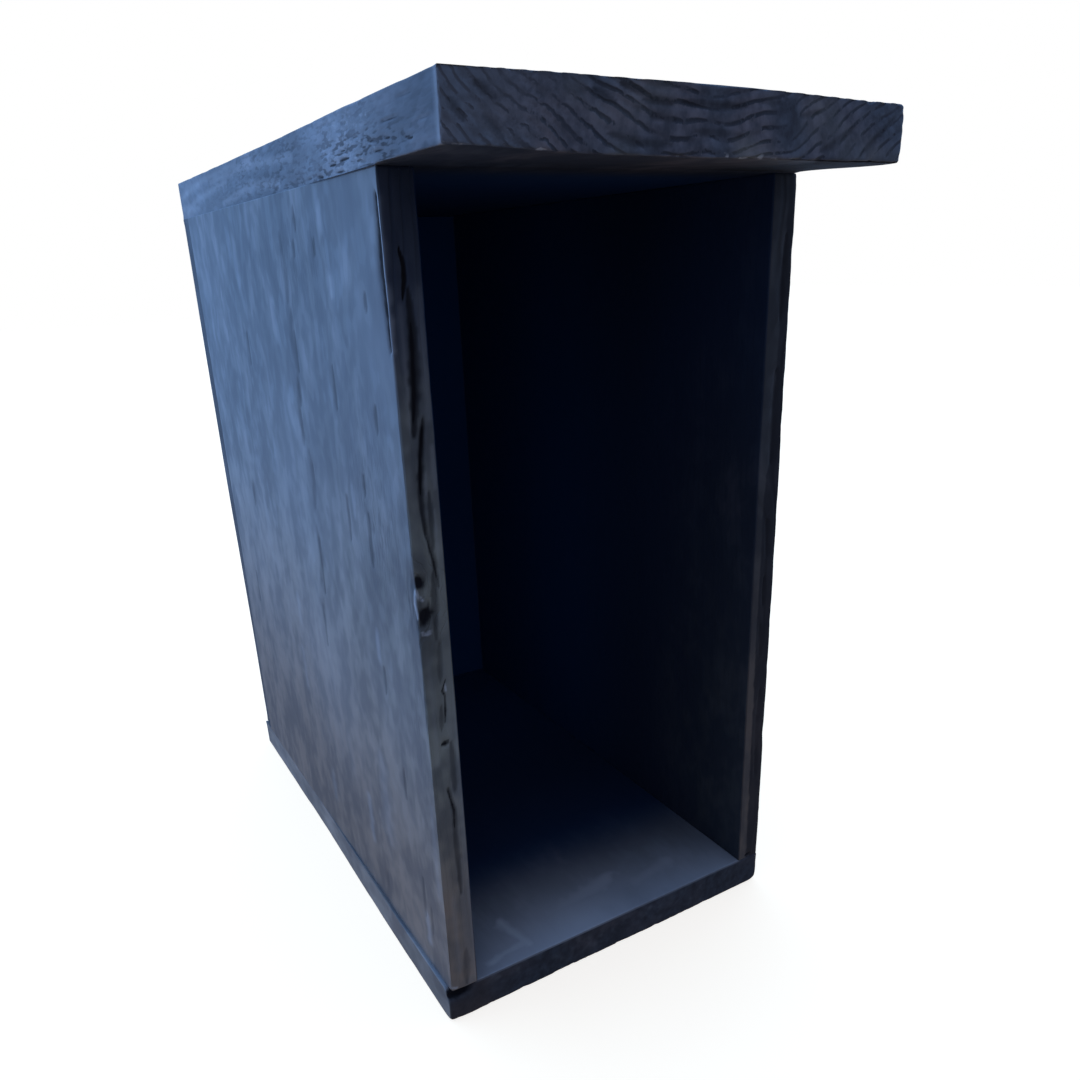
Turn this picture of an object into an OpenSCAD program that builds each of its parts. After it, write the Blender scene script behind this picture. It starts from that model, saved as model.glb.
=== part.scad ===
// Bee hotel: a tall, deep box of rough-sawn blackened boards, open at the front.
// Two side boards and a back panel stand on a base board, and one thick roof board
// lies over them and stands out past the front. Hidden screws hold the boards.
// Millimetres. +X is to the right seen from the open front, +Y to the rear, +Z up.
// The origin is at the bottom centre of the whole object's bounding box.

/* [Box] */
// Width over the two side boards
box_w = 165; // [130:1:260]
// Depth from the front edges of the side boards to the rear face
box_d = 280; // [180:1:360]
// Height from the ground to the underside of the roof board
box_h = 315; // [220:1:420]

/* [Boards] */
// Thickness of the base board
base_t = 15; // [12:0.5:22]
// Thickness of each side board
side_t = 12; // [10:0.5:20]
// Thickness of the back panel
back_t = 12.5; // [10:0.5:20]
// Thickness of the roof board
roof_t = 17.5; // [14:0.5:26]
// Width of the small bevel that stands for the worn arris of every board
arris = 0.8; // [0.3:0.1:1.5]

/* [Handmade offsets] */
// How far the roof board stands out past the open front
roof_overhang = 46; // [10:1:90]
// How far the roof board sits to the left of the side boards
roof_shift = 1; // [0:0.5:2]
// How far the base board stands proud of the left side board
base_proud = 1.5; // [0:0.5:3]
// How far the base board stops short of the rear face
base_short = 1; // [0:0.5:3]

/* [Screws] */
// Diameter of every screw's shank
screw_d = 3.5; // [3:0.5:4]
// Diameter of every countersunk screw head
head_d = 7; // [6:0.5:8]
// Depth of the flat rim on top of a head's cone
head_rim = 0.5; // [0.3:0.1:1]
// Length of the screws that go down through the roof board
roof_screw_l = 45; // [30:1:60]
// Length of the screws that go up through the base board
base_screw_l = 40; // [30:1:60]
// Length of the screws that go in through the back panel
back_screw_l = 40; // [30:1:60]
// Depth of a screw head below the face of its board
sink = 0.5; // [0.2:0.1:1]
// Radial play of a screw in its hole
screw_play = 0.05; // [0.02:0.01:0.1]
// Screws along the edge of each side board, top and bottom
side_screws = 3; // [2:1:5]
// Screws along the top edge and the bottom edge of the back panel
panel_screws = 2; // [1:1:4]
// Screws down each rear edge of the side boards
rear_screws = 4; // [2:1:6]
// Distance from the end of a side board's top or bottom edge to the first screw in it
end_margin = 32; // [25:1:45]
// Distance kept between the tips of screws that come from different sides
tip_gap = 8; // [6:1:15]

/* [Hidden] */
$fn = 48;

// Colours of the blackened wood and the black screws
side_blue = [0.20, 0.25, 0.36];
roof_slate = [0.15, 0.17, 0.24];
base_navy = [0.12, 0.14, 0.20];
panel_grey = [0.16, 0.17, 0.21];
screw_black = [0.08, 0.08, 0.09];

// Outer limits in the working frame, which has its zero at the lower front left corner
// of the left side board. The model is moved from it by to_origin.
left_limit = -max(base_proud, roof_shift);
right_limit = box_w;
front_limit = -roof_overhang;
rear_limit = box_d;
to_origin = [-(left_limit + right_limit) / 2, -(front_limit + rear_limit) / 2, 0];

// Places that follow from the sizes
side_h = box_h - base_t;
side_d = box_d - back_t;
base_w = box_w + base_proud;
base_d = box_d - base_short;
roof_d = box_d + roof_overhang;
left_mid = side_t / 2;
right_mid = box_w - side_t / 2;
panel_mid = side_d + back_t / 2;

// Screw head, point and cross recess
head_cone = (head_d - screw_d) / 2;
point_l = 1.6 * screw_d;
recess_w = 0.16 * head_d;
recess_l = 0.62 * head_d;
recess_deep = 0.24 * head_d;
overcut = 1;

// count places spread evenly from one value to another, or one in the middle
function spread(count, from, to) =
    count < 2 ? [(from + to) / 2]
              : [for (i = [0 : count - 1]) from + (to - from) * i / (count - 1)];

// Positions along the edges that the screws go into
side_y = spread(side_screws, end_margin, side_d - end_margin);
panel_x = spread(panel_screws, side_t + end_margin, box_w - side_t - end_margin);
rear_z = spread(rear_screws,
                base_screw_l + sink + tip_gap,
                box_h + roof_t - roof_screw_l - sink - tip_gap);

// Seats of the screws: head centre in the working frame
roof_seats = [
    for (x = [left_mid, right_mid], y = side_y) [x, y, box_h + roof_t],
    for (x = panel_x) [x, panel_mid, box_h + roof_t]
];
base_seats = [
    for (x = [left_mid, right_mid], y = side_y) [x, y, 0],
    for (x = panel_x) [x, panel_mid, 0]
];
back_seats = [for (x = [left_mid, right_mid], z = rear_z) [x, box_d, z]];

// Turns a screw, which points down, into the direction that its board needs
drive_down = [0, 0, 0];
drive_up = [180, 0, 0];
drive_forward = [-90, 0, 0];

// A rectangle a by b with its corners cut off by the arris
module cut_rectangle(a, b) {
    polygon([
        [arris, 0], [a - arris, 0], [a, arris], [a, b - arris],
        [a - arris, b], [arris, b], [0, b - arris], [0, arris]
    ]);
}

// A sawn board with a small bevel on all twelve edges
module board(size) {
    intersection() {
        linear_extrude(size.z)
            cut_rectangle(size.x, size.y);
        translate([0, size.y, 0])
            rotate([90, 0, 0])
                linear_extrude(size.y)
                    cut_rectangle(size.x, size.z);
        rotate([90, 0, 90])
            linear_extrude(size.x)
                cut_rectangle(size.y, size.z);
    }
}

// A countersunk wood screw that points down, its head's face at z = -sink
module screw(length) {
    difference() {
        translate([0, 0, -sink])
            union() {
                translate([0, 0, -head_rim])
                    cylinder(h = head_rim, d = head_d);
                translate([0, 0, -head_rim - head_cone])
                    cylinder(h = head_cone, d1 = screw_d, d2 = head_d);
                translate([0, 0, -length + point_l])
                    cylinder(h = length - point_l - head_rim - head_cone, d = screw_d);
                translate([0, 0, -length])
                    cylinder(h = point_l, d1 = 0, d2 = screw_d);
            }
        cross_recess();
    }
}

// The cross recess for the driver
module cross_recess() {
    for (turn = [0, 90])
        rotate([0, 0, turn])
            translate([-recess_l / 2, -recess_w / 2, -sink - recess_deep])
                cube([recess_l, recess_w, recess_deep + overcut]);
}

// The hole that a screw needs: countersink and shank, open at the board's face
module screw_hole(length) {
    play_d = 2 * screw_play;
    top = -sink - head_rim;
    translate([0, 0, top])
        cylinder(h = -top + overcut, d = head_d + play_d);
    translate([0, 0, top - head_cone])
        cylinder(h = head_cone, d1 = screw_d + play_d, d2 = head_d + play_d);
    translate([0, 0, -sink - length])
        cylinder(h = sink + length, d = screw_d + play_d);
}

// One child at each seat, turned the way the screws are driven
module at_seats(seats, drive) {
    for (seat = seats)
        translate(seat)
            rotate(drive)
                children();
}

// All the holes that the screws leave in the boards
module roof_screw_holes() {
    at_seats(roof_seats, drive_down) screw_hole(roof_screw_l);
}

module base_screw_holes() {
    at_seats(base_seats, drive_up) screw_hole(base_screw_l);
}

module back_screw_holes() {
    at_seats(back_seats, drive_forward) screw_hole(back_screw_l);
}

module base_board() {
    color(base_navy)
        translate(to_origin)
            difference() {
                translate([-base_proud, 0, 0])
                    board([base_w, base_d, base_t]);
                base_screw_holes();
            }
}

module side_board(left_edge) {
    difference() {
        translate([left_edge, 0, base_t])
            board([side_t, side_d, side_h]);
        roof_screw_holes();
        base_screw_holes();
        back_screw_holes();
    }
}

module left_side() {
    color(side_blue)
        translate(to_origin)
            side_board(0);
}

module right_side() {
    color(side_blue)
        translate(to_origin)
            side_board(box_w - side_t);
}

module back_panel() {
    color(panel_grey)
        translate(to_origin)
            difference() {
                translate([0, side_d, base_t])
                    board([box_w, back_t, side_h]);
                roof_screw_holes();
                base_screw_holes();
                back_screw_holes();
            }
}

module roof_board() {
    color(roof_slate)
        translate(to_origin)
            difference() {
                translate([-roof_shift, -roof_overhang, box_h])
                    board([box_w, roof_d, roof_t]);
                roof_screw_holes();
            }
}

module base_screws() {
    color(screw_black)
        translate(to_origin)
            at_seats(base_seats, drive_up) screw(base_screw_l);
}

module back_screws() {
    color(screw_black)
        translate(to_origin)
            at_seats(back_seats, drive_forward) screw(back_screw_l);
}

module roof_screws() {
    color(screw_black)
        translate(to_origin)
            at_seats(roof_seats, drive_down) screw(roof_screw_l);
}

base_board();
left_side();
right_side();
back_panel();
roof_board();
base_screws();
back_screws();
roof_screws();
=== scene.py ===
"""The looks of a bee hotel: a tall, deep box of blackened rough-sawn boards, open at the front.

Every board is a dense mesh on the place and size of its frame node. Its relief comes from functions
of the place in the wood: growth rings, fibres, knots, cracks, pits and worn arrises. The same
functions write the attributes that the wood material reads, so shape and colour agree.

The frame, the meshes and the scene are in metres. The tables, what a maker passes to its board, and
the cells of the wood's noise are in millimetres.
"""

import math

import bpy
import numpy as np
from mathutils import Matrix, Vector


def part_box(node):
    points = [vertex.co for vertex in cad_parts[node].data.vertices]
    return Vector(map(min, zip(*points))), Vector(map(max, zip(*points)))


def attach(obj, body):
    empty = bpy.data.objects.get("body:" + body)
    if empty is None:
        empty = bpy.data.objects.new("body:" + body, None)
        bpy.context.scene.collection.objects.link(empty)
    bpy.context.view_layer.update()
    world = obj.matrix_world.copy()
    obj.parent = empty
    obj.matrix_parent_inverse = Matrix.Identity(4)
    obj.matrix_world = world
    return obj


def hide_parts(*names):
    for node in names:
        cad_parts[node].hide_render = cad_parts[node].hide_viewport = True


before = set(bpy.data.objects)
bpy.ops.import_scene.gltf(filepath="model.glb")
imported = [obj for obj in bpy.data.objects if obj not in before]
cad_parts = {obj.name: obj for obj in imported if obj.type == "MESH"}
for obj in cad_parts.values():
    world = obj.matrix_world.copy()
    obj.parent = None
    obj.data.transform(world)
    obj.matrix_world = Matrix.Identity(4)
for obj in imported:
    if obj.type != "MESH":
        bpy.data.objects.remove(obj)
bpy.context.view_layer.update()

MM = 0.001
WHITE = (1, 1, 1, 1)
X, Y, Z = 0, 1, 2

# The faces of a board, each an axis and an end
LEFT, RIGHT = (X, -1), (X, 1)
FRONT, REAR = (Y, -1), (Y, 1)
BOTTOM, TOP = (Z, -1), (Z, 1)

# Camera: a phone held close, a little to the left of the open front and above it
CAMERA_PLACE = Vector((-0.18747, -0.38228, 0.28862))
CAMERA_LOOK = Vector((0.47124, 0.80403, -0.36259))
CAMERA_UP = Vector((0.21533, 0.29379, 0.93130))
CAMERA_LENS_MM = 30.02
CAMERA_SENSOR_MM = 36.0
CAMERA_SHIFT = (-0.0041, 0.0649)
CAMERA_NEAR = 0.01

# Stage and light
FLOOR_SIZE = 12.0
FLOOR_DROP = 0.0002
FLOOR_COLOUR = (0.5, 0.335, 0.19, 1)
FLOOR_GLOW = 0.78
SKY_REAR = (0.88, 1.68, 3.25, 1)
SKY_FRONT = (0.365, 0.42, 0.60, 1)
GROUND_REAR = (0.80, 0.69, 0.60, 1)
GROUND_FRONT = (0.13, 0.13, 0.16, 1)
REAR_BAND = (-0.5, 0.35)
HORIZON_BAND = (-0.5, -0.05)

# Wood: its colours, painted shade and painted light among them, and its gloss
STAIN_DARK = (0.019, 0.024, 0.036, 1)
STAIN_BLUE = (0.062, 0.088, 0.125, 1)
STAIN_VIOLET = (0.096, 0.093, 0.112, 1)
# painted shade, navy, for inside the box and under the roof
PAINTED_SHADE_NAVY = (0.0004, 0.036, 0.125, 1)
# grey weathered wood, also painted light on the right side's inner face
GREY_WOOD_AND_LIGHT = (0.164, 0.174, 0.153, 1)
BARE_WOOD = (0.190, 0.138, 0.104, 1)
# pale dust, also painted light and painted highlights
DUST_AND_LIGHT = (0.38, 0.41, 0.45, 1)
# char, also painted shade under the roof, inside the box and in soft grooves
CHAR_AND_SHADE = (0.004, 0.005, 0.008, 1)
# the knots' own black, also painted shade in cracks, holes, screw seats and broken gaps
KNOT_BLACK_AND_CRACK_SHADE = (0.003, 0.003, 0.005, 1)
WOOD_ROUGHNESS = 0.66
WOOD_SPECULAR = 0.25
WOOD_BUMP = 0.25 * MM

# Screws: the colours of their black phosphate, and how metallic it is
PHOSPHATE = (0.012, 0.012, 0.014, 1)
PHOSPHATE_RUBBED = (0.07, 0.07, 0.075, 1)
PHOSPHATE_METALLIC = 0.8

# Screw seats: the crater's rim and its depth, a little more than the sunk head
SEAT_RIM = 4.3 * MM
SEAT_DEPTH = 1.05 * MM
SCREW_FACES = {"roof_screws": TOP, "base_screws": BOTTOM, "back_screws": REAR}

# What a board can carry at each point, from 0 to 1, and its material reads; painted shade and light among it
MARKS = ("painted_shade", "grey_and_light", "worn", "dust_and_light", "char_and_shade", "torn", "deep", "fleck")

# Boards, in millimetres: the band of close points along each arris, how far the grain sways from
# straight, how far in the taper of a face reaches, the usual worn radius of an arris, the radius of
# one left square at a joint, and the radius below which the shading is split
CLOSE_BAND = 2
GRAIN_SWAY = 3.5
TAPER_REACH = 15
WORN_ARRIS = 0.7
SQUARE_ARRIS = 0.004
SHARP_BELOW = 0.06

# Planes of the frame, in millimetres: the left side's outer face, the opening, and the roof's left face
LEFT_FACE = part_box("left_side")[0].x / MM
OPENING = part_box("left_side")[0].y / MM
ROOF_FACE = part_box("roof_board")[0].x / MM

# Where the painted shade of the closed inside ends, within the thickness of the left and of the right side
LEFT_JOINT = (-79, -77)
RIGHT_JOINT = (71, 73)


# Curves and noise


def clamp(values, low=0.0, high=1.0):
    return np.minimum(np.maximum(values, low), high)


def rise(values, low, high):
    """0 below low, 1 above high, and a smooth rise between them."""
    t = clamp((values - low) / (high - low))
    return t * t * (3 - 2 * t)


def fall(values, low, high):
    """1 below low, 0 above high, and a smooth fall between them."""
    return 1 - rise(values, low, high)


def bell(distance, width, power=2):
    """1 at no distance, falling to 0 in about 1.5 widths, and more steeply with a higher power."""
    return np.exp(-np.abs(distance / width) ** power)


def noise(places, cell, seed):
    """Smooth noise from -1 to 1 at the places, on a lattice with the given cell, or cell along each axis."""
    spot = places / np.asarray(cell, float)
    low = np.floor(spot).astype(int)
    part = spot - low
    part = part * part * (3 - 2 * part)
    low -= low.min(0)
    values = np.random.default_rng(seed).uniform(-1, 1, low.max(0) + 2)
    total = np.zeros(len(places))
    for corner in np.ndindex(2, 2, 2):
        share = np.where(corner, part, 1 - part).prod(1)
        total += share * values[tuple((low + corner).T)]
    return total


def layered_noise(places, cell, seed, layers=3):
    """Noise with finer and weaker layers on top, from about -1 to 1."""
    total = np.zeros(len(places))
    for layer in range(layers):
        total += noise(places, np.asarray(cell, float) / 2**layer, seed + 17 * layer) / 2**layer
    return total / 1.5


# The points of a board, and the screw heads in it


def stations(low, high, step_low, step_high, edge):
    """Places along one axis: close together at the two arrises, and between them with a step that
    changes evenly from the low end to the high one.
    """
    near = edge * np.array([0.0, 0.15, 0.4, 0.7, 1.0])
    span = high - low - 2 * edge
    count = max(2, round(span / ((step_low + step_high) / 2)))
    t = np.arange(1, count) / count
    bend = (step_high - step_low) / (step_high + step_low)
    middle = low + edge + span * t * (1 - bend + bend * t)
    return np.concatenate((low + near, middle, high - near[::-1]))


def box_surface(xs, ys, zs):
    """The points and outward quads of a box's surface on the given stations, each point once."""
    shape = (len(xs), len(ys), len(zs))
    i, j, k = np.indices(shape)
    on = (i == 0) | (i == shape[0] - 1) | (j == 0) | (j == shape[1] - 1) | (k == 0) | (k == shape[2] - 1)
    number = np.full(shape, -1)
    number[on] = np.arange(on.sum())
    points = np.stack((xs[i[on]], ys[j[on]], zs[k[on]]), 1)
    quads = []
    for axis in (X, Y, Z):
        for end in (0, -1):
            side = np.take(number, end, axis)
            ring = (side[:-1, :-1], side[1:, :-1], side[1:, 1:], side[:-1, 1:])
            quad = np.stack(ring, -1).reshape(-1, 4)
            outward = (end == -1) != (axis == Y)
            quads.append(quad if outward else quad[:, ::-1])
    return points, np.concatenate(quads)


def screw_heads(node):
    """The centre of each screw head of a node, read from its separate solids."""
    axis, end = SCREW_FACES[node]
    points = np.array([v.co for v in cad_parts[node].data.vertices])
    top = end * (end * points[:, axis]).max()
    heads = []
    for point in points[np.abs(points[:, axis] - top) < 0.05 * MM]:
        near = next((head for head in heads if np.linalg.norm(head[0] - point) < 2 * SEAT_RIM), None)
        if near:
            near.append(point)
        else:
            heads.append([point])
    for head in heads:
        corners = np.array(head)
        yield (corners.min(0) + corners.max(0)) / 2


class Board:
    """A board's surface points, with the relief and the marks, painted shade and light among them, that its
    maker and its wood give it.

    The points are in metres, as in the frame. What the methods take is in millimetres, and a face is
    one of the six from LEFT to TOP. The steps are those between the points, at the low and at the high
    end of each axis.
    """

    def __init__(self, name, grain, steps, seed):
        self.name, self.grain, self.seed = name, grain, seed
        low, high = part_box(name)
        self.low, self.high = np.array(low), np.array(high)
        self.middle = (self.low + self.high) / 2
        steps = np.array(steps) * MM
        lines = [stations(self.low[a], self.high[a], *steps[a], CLOSE_BAND * MM) for a in (X, Y, Z)]
        self.points, self.quads = box_surface(*lines)
        self.cross = [a for a in (X, Y, Z) if a != grain]
        count = len(self.points)
        self.depth = np.zeros(count)
        self.shift = np.zeros((count, 3))
        self.radius = np.full(count, WORN_ARRIS * MM)
        self.figure = np.full(count, 0.1)
        self.marks = {mark: np.zeros(count) for mark in MARKS}
        self.flow = self.points.copy()
        for axis in self.cross:
            sway = self.rough(self.grain_cell(22, 70), 3 + axis, 2)
            self.flow[:, axis] += GRAIN_SWAY * MM * sway

    def grain_cell(self, across, along):
        """A noise cell that is short across the grain and long along it."""
        cell = np.full(3, float(across))
        cell[self.grain] = along
        return cell

    def rough(self, cell, seed, layers=3):
        """Layered noise over the board, with the board's own seed added to the one given."""
        return layered_noise(self.points, np.multiply(cell, MM), self.seed + seed, layers)

    def ragged(self, gap, share, cell, seed):
        """A distance made uneven by a share of itself, to give what is drawn by it a ragged outline."""
        return gap * (1 + share * noise(self.points, cell * MM, self.seed + seed))

    def grow_rings(self, pith, ring_gap, squeeze=1.0, sweep=0.0):
        """Counts the growth rings from the pith, which lies off the board's middle across the grain.

        The rings are squeezed on the pith's high side, and the pith sweeps away along the grain.
        """
        across = self.flow[:, self.cross] - self.middle[self.cross] - np.array(pith) * MM
        across[:, 0] *= np.where(across[:, 0] > 0, squeeze, 1.0)
        along = clamp((self.points[:, self.grain] - self.middle[self.grain]) / (100 * MM), 0, 2)
        across[:, 1] += sweep * MM * along**2
        self.ring_gap = ring_gap * MM
        self.from_pith = np.linalg.norm(across, axis=1)

    def gap_to(self, face):
        """Each point's distance from the plane of a face, in metres."""
        axis, end = face
        return np.abs(self.points[:, axis] - (self.high if end > 0 else self.low)[axis])

    def on(self, face, reach=0.3):
        """1 on a face, 0 elsewhere."""
        return (self.gap_to(face) < reach * MM).astype(float)

    def end_grain(self):
        return np.maximum(self.on((self.grain, -1)), self.on((self.grain, 1)))

    def near_arris(self, face, other, reach=4):
        """1 at the arris between two faces, falling to 0 at the reach."""
        gap = np.maximum(self.gap_to(face), self.gap_to(other))
        return fall(gap, 0, reach * MM)

    def away(self, centre, size):
        """Each point's distance from a centre, counted in sizes, or in the size along each axis."""
        return np.linalg.norm((self.points - np.multiply(centre, MM)) / np.multiply(size, MM), axis=1)

    def along(self, path):
        """Each point's distance from a line through the places of path, in metres, and how far along
        the line it is, 0 to 1.
        """
        path = np.multiply(path, MM)
        lengths = np.linalg.norm(np.diff(path, axis=0), axis=1)
        nearest = np.full(len(self.points), np.inf)
        share = np.zeros(len(self.points))
        for number, (start, end) in enumerate(zip(path[:-1], path[1:])):
            t = clamp((self.points - start) @ (end - start) / lengths[number] ** 2)
            gap = np.linalg.norm(self.points - start - t[:, None] * (end - start), axis=1)
            closer = gap < nearest
            nearest[closer] = gap[closer]
            share[closer] = (lengths[:number].sum() + t[closer] * lengths[number]) / lengths.sum()
        return nearest, clamp(share)

    def mark(self, name, amount):
        """Raises a mark to at least the amount."""
        np.maximum(self.marks[name], amount, out=self.marks[name])

    def add_painted_shade(self, amount):
        """Adds to the painted shade already there."""
        self.marks["painted_shade"] += amount

    def wear_arrises(self, amount, cell):
        """Makes the worn radius of the arrises change along them."""
        self.radius += amount * MM * clamp(self.rough(cell, 3))

    def ragged_arris(self, face, other, amount, cell, pale=0.0):
        """One arris torn by the saw, in pieces about as long as the cell, with pale flecks."""
        torn = clamp(self.rough(cell, 61 + 7 * face[0] + other[0]) + 0.1)
        near = self.near_arris(face, other)
        self.radius += near * amount * MM * torn
        self.mark("fleck", pale * near * rise(torn, 0.1, 0.5))

    def set_arris(self, face, other, radius, where=1.0):
        """Gives one arris a radius of its own, for where another board meets it."""
        share = self.near_arris(face, other) * where
        self.radius += share * (radius * MM - self.radius)

    def taper(self, face, amount):
        """Draws a face in by an amount that may change over it, as a plane takes off the end of a board."""
        axis, end = face
        self.shift[:, axis] -= end * amount * MM * fall(self.gap_to(face), 0, TAPER_REACH * MM)

    def chip(self, centre, size, amount, dark=0.0):
        """A piece broken off an arris; dark is the painted shade in the break."""
        share = bell(self.away(centre, size), 1.0)
        self.radius += amount * MM * share
        self.mark("deep", dark * share)

    def dent(self, centre, size, push):
        """Presses a spot in by a vector."""
        share = bell(self.away(centre, size), 1.0)
        self.shift += share[:, None] * np.multiply(push, MM)

    def crack(self, path, width, depth, dark=1.0, soft=False):
        """A split or, when soft, a blurred dark groove along a path on a face, widest in its middle; its
        dark is painted shade.
        """
        gap, share = self.along(path)
        gap = self.ragged(gap, 0.3, 2.5, 31)
        width = width * MM * (0.3 + 0.7 * np.sqrt(np.sin(math.pi * share)))
        self.depth += depth * MM * bell(gap, width)
        self.mark("char_and_shade" if soft else "deep", dark * bell(gap, 1.15 * width, 4 if soft else 2))

    def scuff_and_highlight(self, path, width, amount):
        """A pale line or patch, used for rubbed scuffs and for painted highlights."""
        gap, _ = self.along(path)
        self.mark("dust_and_light", amount * bell(self.ragged(gap, 0.5, 3, 37), width * MM))

    def sliver(self, path, width, amount=0.62):
        """A pale splinter or chip with crisp, ragged sides."""
        gap, _ = self.along(path)
        self.mark("fleck", amount * bell(gap, width * MM))

    def knot(self, centre, size, depth, swirl):
        """A knot: rings crowd round it, and its heart is dark and sunk."""
        gap = self.ragged(self.away(centre, size), 0.35, 2.2, 33)
        self.from_pith += swirl * MM * bell(gap, 1.8)
        self.depth += depth * MM * bell(gap, 0.95)
        self.mark("deep", bell(gap, 1.0))

    def tear(self, centre, size, amount):
        """A patch of torn grain: shallow hollows here, and its small holes, black with painted shade, in the
        material.
        """
        patch = amount * bell(self.away(centre, size), 1.0)
        uneven = self.rough(self.grain_cell(4, 8), 71, 2)
        self.depth += 0.12 * MM * patch * (1 + uneven)
        self.mark("torn", patch * (0.8 + 0.4 * uneven))

    def sawn(self, wave=0.25, fibre=0.12):
        """The rough-sawn skin: slow waves, and low strands of fibre about a centimetre wide."""
        slow = layered_noise(self.flow, self.grain_cell(26, 44) * MM, self.seed + 11, 2)
        strand = layered_noise(self.flow, self.grain_cell(12, 26) * MM, self.seed + 12, 1)
        self.depth += 0.5 * wave * MM * (1 + slow) + 0.5 * fibre * MM * (1 + strand)

    def end_rings(self, depth):
        """Soft early wood stands back from the hard late wood on the end grain, with torn pores between."""
        hollow = 0.5 + 0.5 * np.cos(2 * math.pi * self.from_pith / self.ring_gap)
        broken = rise(self.rough(7, 41), -0.5, 0.3)
        torn = clamp(self.rough(3, 43))
        self.depth += self.end_grain() * depth * MM * (hollow**2 * broken + 0.5 * torn)

    def screw_seats(self, node):
        """A shallow crater over each screw head of a node, with a round rim, darkened with painted shade."""
        face = SCREW_FACES[node]
        flat = [a for a in (X, Y, Z) if a != face[0]]
        on_face = self.on(face) > 0
        for centre in screw_heads(node):
            away = self.points[:, flat] - centre[flat]
            gap = np.linalg.norm(away, axis=1)
            snap = on_face & (np.abs(gap - SEAT_RIM) < 0.55 * MM)
            scale = SEAT_RIM / np.maximum(gap[snap], MM)
            self.points[np.ix_(snap, flat)] = centre[flat] + away[snap] * scale[:, None]
            inside = on_face & (gap < SEAT_RIM - 0.5 * MM)
            self.depth[inside] = SEAT_DEPTH
            self.marks["deep"][inside | snap] = 0.5

    def seat_flat(self, face, where=1.0):
        """Keeps a face flat where another board lies on it.

        Its arrises follow the relief of the faces beside it.
        """
        share = self.on(face, 0.1) * where
        for axis in {X, Y, Z} - {face[0]}:
            for end in (-1, 1):
                sunk = self.depth * share * self.on((axis, end), 0.1)
                self.shift[:, axis] -= end * sunk
        self.depth *= 1 - share

    def mark_square_arrises(self, mesh):
        """Splits the shading along the arrises left square, so that no false round shows at a joint."""
        ends = np.empty(2 * len(mesh.edges), np.int32)
        mesh.edges.foreach_get("vertices", ends)
        on_arris = ((self.points == self.low) | (self.points == self.high)).sum(1) > 1
        square = on_arris & (self.radius < SHARP_BELOW * MM)
        sharp = square[ends.reshape(-1, 2)].all(1)
        mesh.attributes.new("sharp_edge", "BOOLEAN", "EDGE").data.foreach_set("value", sharp)

    def write_attributes(self, mesh):
        """What the wood material reads at each point."""
        place = np.stack([self.flow[:, a] for a in (*self.cross, self.grain)], 1) + 0.37 * self.seed
        vector = mesh.attributes.new("wood_place", "FLOAT_VECTOR", "POINT")
        vector.data.foreach_set("vector", place.astype(np.float32).ravel())
        numbers = {mark: clamp(values) for mark, values in self.marks.items()}
        numbers["figure"] = clamp(self.figure)
        numbers["ring"] = self.from_pith / self.ring_gap
        numbers["end"] = self.end_grain()
        for name, values in numbers.items():
            number = mesh.attributes.new("wood_" + name, "FLOAT", "POINT")
            number.data.foreach_set("value", values.astype(np.float32))

    def build(self):
        """Makes the mesh object, with its arrises worn and its faces sunk by the relief."""
        radius = self.radius[:, None]
        core = np.clip(self.points, self.low + radius, self.high - radius)
        out = self.points - core
        out /= np.linalg.norm(out, axis=1)[:, None]
        moved = core + out * (radius - self.depth[:, None]) + self.shift
        mesh = bpy.data.meshes.new(self.name + "_wood")
        mesh.vertices.add(len(moved))
        mesh.vertices.foreach_set("co", moved.astype(np.float32).ravel())
        mesh.loops.add(self.quads.size)
        mesh.loops.foreach_set("vertex_index", self.quads.astype(np.int32).ravel())
        mesh.polygons.add(len(self.quads))
        mesh.polygons.foreach_set("loop_start", np.arange(0, self.quads.size, 4, dtype=np.int32))
        mesh.update(calc_edges=True)
        mesh.validate()
        mesh.polygons.foreach_set("use_smooth", np.ones(len(self.quads), bool))
        self.mark_square_arrises(mesh)
        self.write_attributes(mesh)
        piece = bpy.data.objects.new(self.name + "_wood", mesh)
        bpy.context.scene.collection.objects.link(piece)
        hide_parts(self.name)
        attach(piece, "root")
        return piece


# Nodes and materials


def feed(tree, made, inputs):
    """Links or sets the inputs of a node."""
    for key, value in inputs.items():
        if isinstance(value, bpy.types.NodeSocket):
            tree.links.new(value, made.inputs[key])
        else:
            made.inputs[key].default_value = value


def add_node(tree, kind, inputs=(), **settings):
    made = tree.nodes.new("ShaderNode" + kind)
    for name, value in settings.items():
        setattr(made, name, value)
    feed(tree, made, dict(inputs))
    return made


def calculate(tree, operation, *values):
    return add_node(tree, "Math", enumerate(values), operation=operation).outputs[0]


def product(tree, total, *factors):
    """The product of two or more values."""
    for factor in factors:
        total = calculate(tree, "MULTIPLY", total, factor)
    return total


def weighted_sum(tree, *terms):
    """The sum of values times weights."""
    total = None
    for value, weight in terms:
        part = value if weight == 1 else product(tree, value, weight)
        total = part if total is None else calculate(tree, "ADD", total, part)
    return total


def attribute(tree, name, output="Fac"):
    """What a board wrote under that name."""
    return add_node(tree, "Attribute", attribute_name="wood_" + name).outputs[output]


def mix_colours(tree, share, first, second):
    """From one colour to another. A Mix node has its colours at 6 and 7, and its numbers at 2 and 3."""
    return add_node(tree, "Mix", {0: share, 6: first, 7: second}, data_type="RGBA").outputs[2]


def mix_values(tree, share, first, second):
    return add_node(tree, "Mix", {0: share, 2: first, 3: second}).outputs[0]


def ramp(tree, value, low, high, from_value=0.0, to_value=1.0):
    """A smooth change from one value to another as the input goes from low to high."""
    inputs = enumerate((value, low, high, from_value, to_value))
    return add_node(tree, "MapRange", inputs, interpolation_type="SMOOTHSTEP").outputs[0]


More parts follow.
